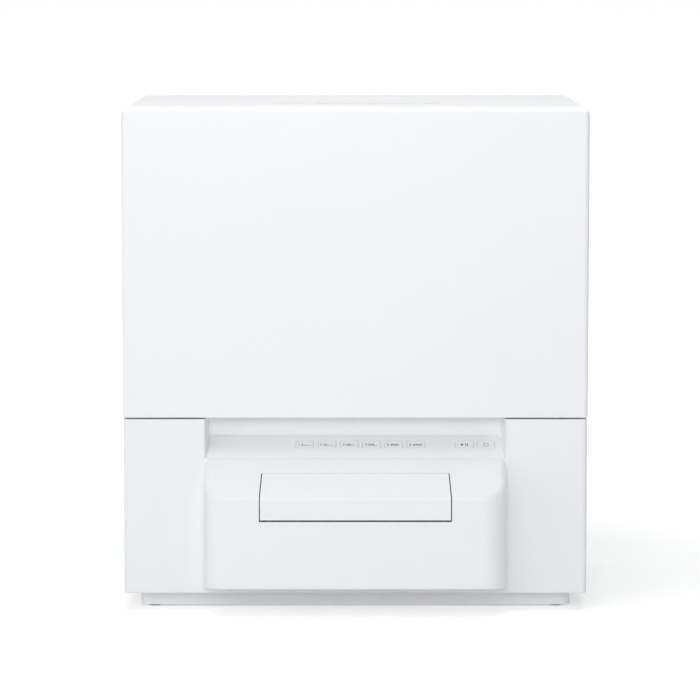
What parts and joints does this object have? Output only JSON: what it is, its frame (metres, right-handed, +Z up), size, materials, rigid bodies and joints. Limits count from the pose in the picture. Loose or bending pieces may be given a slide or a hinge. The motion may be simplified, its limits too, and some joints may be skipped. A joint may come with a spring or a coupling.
{
  "type": "countertop dishwasher",
  "caption": "Slim free-standing dishwasher with a lift-up door, a sloped strip of keys, a water inlet housing with a flap, and its racks, pumps and blower inside.",
  "frame": {"origin": "on the floor, under the middle of the outline", "axes": "+X to the right as seen from the front, +Y to the rear, +Z up"},
  "size_m": [0.55, 0.386, 0.6],
  "materials": {
    "shell_white": "smooth, semi-gloss",
    "body_white": "smooth, semi-gloss",
    "strip_white": "fine satin",
    "key_white": "fine satin",
    "inner_grey": "satin",
    "plinth_white": "satin",
    "tub_grey": "satin",
    "filter_grey": "satin",
    "basket_grey": "satin",
    "seal_grey": "matt",
    "rack_wire": "coated, smooth",
    "zinc_steel": "zinc plated",
    "heater_steel": "heat tinted",
    "pump_plastic": "moulded",
    "hose_grey": "matt",
    "motor_metal": "cast",
    "board_green": "coated board"
  },
  "bodies": {
    "root": {"lower_front": "body_white", "side_panel_left": "body_white", "side_panel_right": "body_white", "top_cover": "body_white", "control_strip": "strip_white", "inlet_hopper": "inner_grey", "rear_panel": "inner_grey", "base_tray": "plinth_white", "tub": "tub_grey", "sump": "tub_grey", "rear_nozzle": "tub_grey", "spray_hub": "tub_grey", "filter_plate": "filter_grey", "residue_filter": "filter_grey", "cutlery_basket": "basket_grey", "door_gasket": "seal_grey", "rubber_feet": "seal_grey", "door_bumpers": "seal_grey", "lower_rack": "rack_wire", "upper_rack": "rack_wire", "tub_supports": "zinc_steel", "link_frames": "zinc_steel", "rear_screws": "zinc_steel", "lid_pins": "zinc_steel", "heater": "heater_steel", "wash_volute": "pump_plastic", "drain_pump": "pump_plastic", "blower_housing": "pump_plastic", "air_duct": "pump_plastic", "door_dampers": "pump_plastic", "supply_valve": "pump_plastic", "drain_spigot": "pump_plastic", "cord_gland": "pump_plastic", "fill_pipe": "hose_grey", "wash_pipe": "hose_grey", "drain_hose": "hose_grey", "wash_motor": "motor_metal", "control_board": "board_green", "power_board": "board_green"},
    "door": {"door_shell": "shell_white", "door_grip": "inner_grey", "door_inner": "inner_grey", "vent_louver": "shell_white", "door_brackets": "zinc_steel"},
    "lower_link_pair": {"lower_links": "zinc_steel", "lower_link_pins": "zinc_steel"},
    "upper_link_pair": {"upper_links": "zinc_steel", "upper_link_pins": "zinc_steel"},
    "inlet_flap": {"inlet_lid": "body_white"},
    "spray_rotor": {"spray_arm": "filter_grey"},
    "pump_rotor": {"wash_impeller": "pump_plastic"},
    "blower_rotor": {"blower_wheel": "pump_plastic"},
    "course_key_1_cap": {"course_key_1": "key_white"},
    "course_key_2_cap": {"course_key_2": "key_white"},
    "course_key_3_cap": {"course_key_3": "key_white"},
    "course_key_4_cap": {"course_key_4": "key_white"},
    "course_key_5_cap": {"course_key_5": "key_white"},
    "course_key_6_cap": {"course_key_6": "key_white"},
    "start_key_cap": {"start_key": "key_white"},
    "power_key_cap": {"power_key": "key_white"}
  },
  "joints": [
    {"name": "door_lift", "type": "hinge", "parent": "root", "child": "lower_link_pair", "pos_m": [0, 0.03498, 0.45605], "axis": [-1, 0, 0], "range_deg": [0, 92]},
    {"name": "upper_link_turn", "type": "hinge", "parent": "root", "child": "upper_link_pair", "pos_m": [0, 0.01498, 0.51605], "axis": [-1, 0, 0], "range_deg": [0, 92]},
    {"name": "door_level", "type": "hinge", "parent": "lower_link_pair", "child": "door", "pos_m": [0, -0.0683, 0.2618], "axis": [1, 0, 0], "range_deg": [0, 92]},
    {"name": "lid_hinge", "type": "hinge", "parent": "root", "child": "inlet_flap", "pos_m": [0, -0.15545, 0.16707], "axis": [-1, 0, 0], "range_deg": [0, 90]},
    {"name": "spray_spin", "type": "hinge", "parent": "root", "child": "spray_rotor", "pos_m": [0, 0.03, 0.26], "axis": [0, 0, 1], "continuous": true},
    {"name": "pump_spin", "type": "hinge", "parent": "root", "child": "pump_rotor", "pos_m": [0.0843, 0.03, 0.075], "axis": [1, 0, 0], "continuous": true},
    {"name": "blower_spin", "type": "hinge", "parent": "root", "child": "blower_rotor", "pos_m": [0.17, 0.114, 0.048], "axis": [0, 0, 1], "continuous": true},
    {"name": "course_key_1_press", "type": "slide", "parent": "root", "child": "course_key_1_cap", "axis": [0, 0.6652, -0.7466], "range_m": [0, 0.0008], "stiffness_N_per_m": 900, "springref_m": -0.0012},
    {"name": "course_key_2_press", "type": "slide", "parent": "root", "child": "course_key_2_cap", "axis": [0, 0.6652, -0.7466], "range_m": [0, 0.0008], "stiffness_N_per_m": 900, "springref_m": -0.0012},
    {"name": "course_key_3_press", "type": "slide", "parent": "root", "child": "course_key_3_cap", "axis": [0, 0.6652, -0.7466], "range_m": [0, 0.0008], "stiffness_N_per_m": 900, "springref_m": -0.0012},
    {"name": "course_key_4_press", "type": "slide", "parent": "root", "child": "course_key_4_cap", "axis": [0, 0.6652, -0.7466], "range_m": [0, 0.0008], "stiffness_N_per_m": 900, "springref_m": -0.0012},
    {"name": "course_key_5_press", "type": "slide", "parent": "root", "child": "course_key_5_cap", "axis": [0, 0.6652, -0.7466], "range_m": [0, 0.0008], "stiffness_N_per_m": 900, "springref_m": -0.0012},
    {"name": "course_key_6_press", "type": "slide", "parent": "root", "child": "course_key_6_cap", "axis": [0, 0.6652, -0.7466], "range_m": [0, 0.0008], "stiffness_N_per_m": 900, "springref_m": -0.0012},
    {"name": "start_key_press", "type": "slide", "parent": "root", "child": "start_key_cap", "axis": [0, 0.6652, -0.7466], "range_m": [0, 0.0008], "stiffness_N_per_m": 900, "springref_m": -0.0012},
    {"name": "power_key_press", "type": "slide", "parent": "root", "child": "power_key_cap", "axis": [0, 0.6652, -0.7466], "range_m": [0, 0.0008], "stiffness_N_per_m": 900, "springref_m": -0.0012}
  ],
  "couplings": [
    {"joint": "upper_link_turn", "follows": "door_lift", "ratio": 1},
    {"joint": "door_level", "follows": "door_lift", "ratio": 1}
  ]
}
